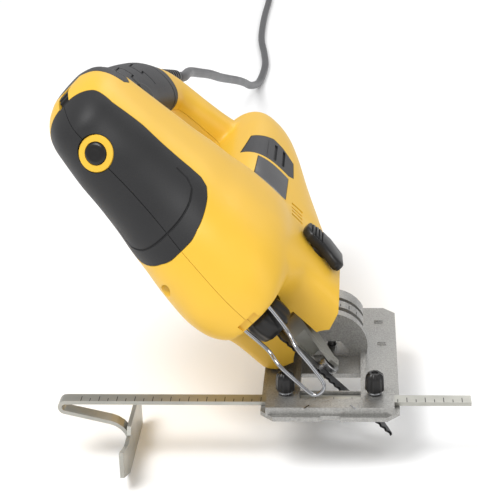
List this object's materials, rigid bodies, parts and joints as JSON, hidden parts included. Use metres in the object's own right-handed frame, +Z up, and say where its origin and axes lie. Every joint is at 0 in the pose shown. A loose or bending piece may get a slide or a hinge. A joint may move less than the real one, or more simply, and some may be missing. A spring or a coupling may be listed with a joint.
{
  "type": "jigsaw",
  "caption": "Corded electric jigsaw with a bevelling die-cast base plate, wire blade guard, orbital lever and a clamped rip fence.",
  "frame": {"origin": "on the sole of the base plate, under the bevel axis, midway across the plate", "axes": "+Z up out of the sole, -Y the cutting direction, +X the saw's left; the body is stored leaning 45 degrees to -X"},
  "size_m": [0.2356, 1.226, 0.2014],
  "materials": {
    "yellow_plastic": "fine satin moulded texture",
    "black_rubber": "matte overmould",
    "grey_rubber": "matte overmould with grooves",
    "cord_rubber": "satin sheath",
    "label": "printed label, blank",
    "black_plastic": "satin",
    "red_plastic": "satin",
    "circuit_board": "satin",
    "cast_metal": "die-cast, grainy",
    "zinc": "zinc plated",
    "chrome": "polished",
    "brass": "turned",
    "copper": "turned copper",
    "dark_steel": "blackened",
    "steel": "ground"
  },
  "bodies": {
    "base": {"base_plate": "cast_metal", "bevel_clamp_plate": "steel", "bevel_screw": "steel", "thumb_spring_left": "chrome", "thumb_spring_right": "chrome", "cord": "cord_rubber", "cord_coil": "cord_rubber", "plug": "black_plastic"},
    "fence": {"rip_fence": "zinc"},
    "knob_left": {"thumb_screw_left": "black_plastic"},
    "knob_right": {"thumb_screw_right": "black_plastic"},
    "plunger_set": {"plunger": "steel", "scotch_yoke": "steel", "clamp_sleeve": "steel", "blade": "dark_steel"},
    "clamp_collar": {"blade_clamp": "black_plastic"},
    "fork": {"roller_fork": "steel", "roller_pin": "steel"},
    "roller": {"roller": "steel"},
    "armature": {"armature_shaft": "steel", "armature_core": "dark_steel", "commutator": "copper", "cooling_fan": "black_plastic", "motor_pinion": "steel"},
    "gear": {"drive_gear": "steel", "crank_pin": "steel"},
    "lever": {"orbital_lever": "black_plastic"},
    "trigger": {"trigger": "black_plastic"},
    "lock_button": {"lock_on_button": "black_plastic"},
    "front_button": {"front_button": "black_plastic"},
    "dial": {"speed_dial": "red_plastic"},
    "housing": {"bearing_front": "steel", "bearing_rear": "steel", "brush_holder_left": "brass", "brush_holder_right": "brass", "brush_left": "dark_steel", "brush_right": "dark_steel", "button_ring": "yellow_plastic", "control_board": "circuit_board", "cord_clamp": "black_plastic", "field_stator": "dark_steel", "front_grip": "black_rubber", "gear_plate": "cast_metal", "handle_grip": "grey_rubber", "housing_left": "yellow_plastic", "housing_right": "yellow_plastic", "housing_screw_1": "steel", "housing_screw_2": "steel", "housing_screw_3": "steel", "housing_screw_4": "steel", "housing_screw_5": "steel", "label_plate": "label", "plunger_bush_lower": "brass", "plunger_bush_upper": "brass", "side_pad_left": "grey_rubber", "side_pad_right": "grey_rubber", "strain_relief": "black_rubber", "trigger_switch": "black_plastic", "wire_guard": "chrome"}
  },
  "joints": [
    {"name": "bevel_tilt", "type": "hinge", "parent": "base", "child": "housing", "pos_m": [0, 0, 0.009], "axis": [0, 1, 0], "range_deg": [0, 90]},
    {"name": "fence_slide", "type": "slide", "parent": "base", "child": "fence", "axis": [1, 0, 0], "range_m": [-0.03, 0.05]},
    {"name": "knob_left_turn", "type": "hinge", "parent": "base", "child": "knob_left", "pos_m": [0.0245, -0.059, 0.0094], "axis": [0, 0, 1], "continuous": true},
    {"name": "knob_right_turn", "type": "hinge", "parent": "base", "child": "knob_right", "pos_m": [-0.0245, -0.059, 0.0094], "axis": [0, 0, 1], "continuous": true},
    {"name": "plunger_stroke", "type": "slide", "parent": "housing", "child": "plunger_set", "axis": [-0.7071, 0, 0.7071], "range_m": [-0.018, 0]},
    {"name": "clamp_turn", "type": "hinge", "parent": "plunger_set", "child": "clamp_collar", "pos_m": [-0.02899, -0.04, 0.03799], "axis": [-0.7071, 0, 0.7071], "range_deg": [0, 60], "stiffness_Nm_per_rad": 0.05},
    {"name": "fork_swing", "type": "hinge", "parent": "housing", "child": "fork", "pos_m": [-0.02121, -0.016, 0.03021], "axis": [0.7071, 0, 0.7071], "range_deg": [0, 4]},
    {"name": "roller_spin", "type": "hinge", "parent": "fork", "child": "roller", "pos_m": [-0.00212, -0.0357, 0.01112], "axis": [0.7071, 0, 0.7071], "continuous": true},
    {"name": "armature_spin", "type": "hinge", "parent": "housing", "child": "armature", "pos_m": [-0.04455, 0, 0.05355], "axis": [0, 1, 0], "continuous": true},
    {"name": "gear_spin", "type": "hinge", "parent": "housing", "child": "gear", "pos_m": [-0.06081, -0.02, 0.06981], "axis": [0, 1, 0], "continuous": true},
    {"name": "lever_turn", "type": "hinge", "parent": "housing", "child": "lever", "pos_m": [-0.00636, 0.006, 0.06486], "axis": [0.7071, 0, 0.7071], "range_deg": [0, 45]},
    {"name": "trigger_press", "type": "hinge", "parent": "housing", "child": "trigger", "pos_m": [-0.11455, 0.085, 0.12355], "axis": [-0.7071, 0, -0.7071], "range_deg": [0, 7], "stiffness_Nm_per_rad": 1},
    {"name": "lock_press", "type": "slide", "parent": "housing", "child": "lock_button", "axis": [-0.7071, 0, -0.7071], "range_m": [0, 0.003], "stiffness_N_per_m": 400},
    {"name": "front_press", "type": "slide", "parent": "housing", "child": "front_button", "axis": [0.2534, 0.9336, -0.2534], "range_m": [0, 0.003], "stiffness_N_per_m": 400},
    {"name": "dial_turn", "type": "hinge", "parent": "housing", "child": "dial", "pos_m": [-0.13965, 0.012, 0.14865], "axis": [0.7071, 0, 0.7071], "range_deg": [0, 200]}
  ],
  "couplings": [
    {"joint": "gear_spin", "follows": "armature_spin", "ratio": -0.18}
  ]
}
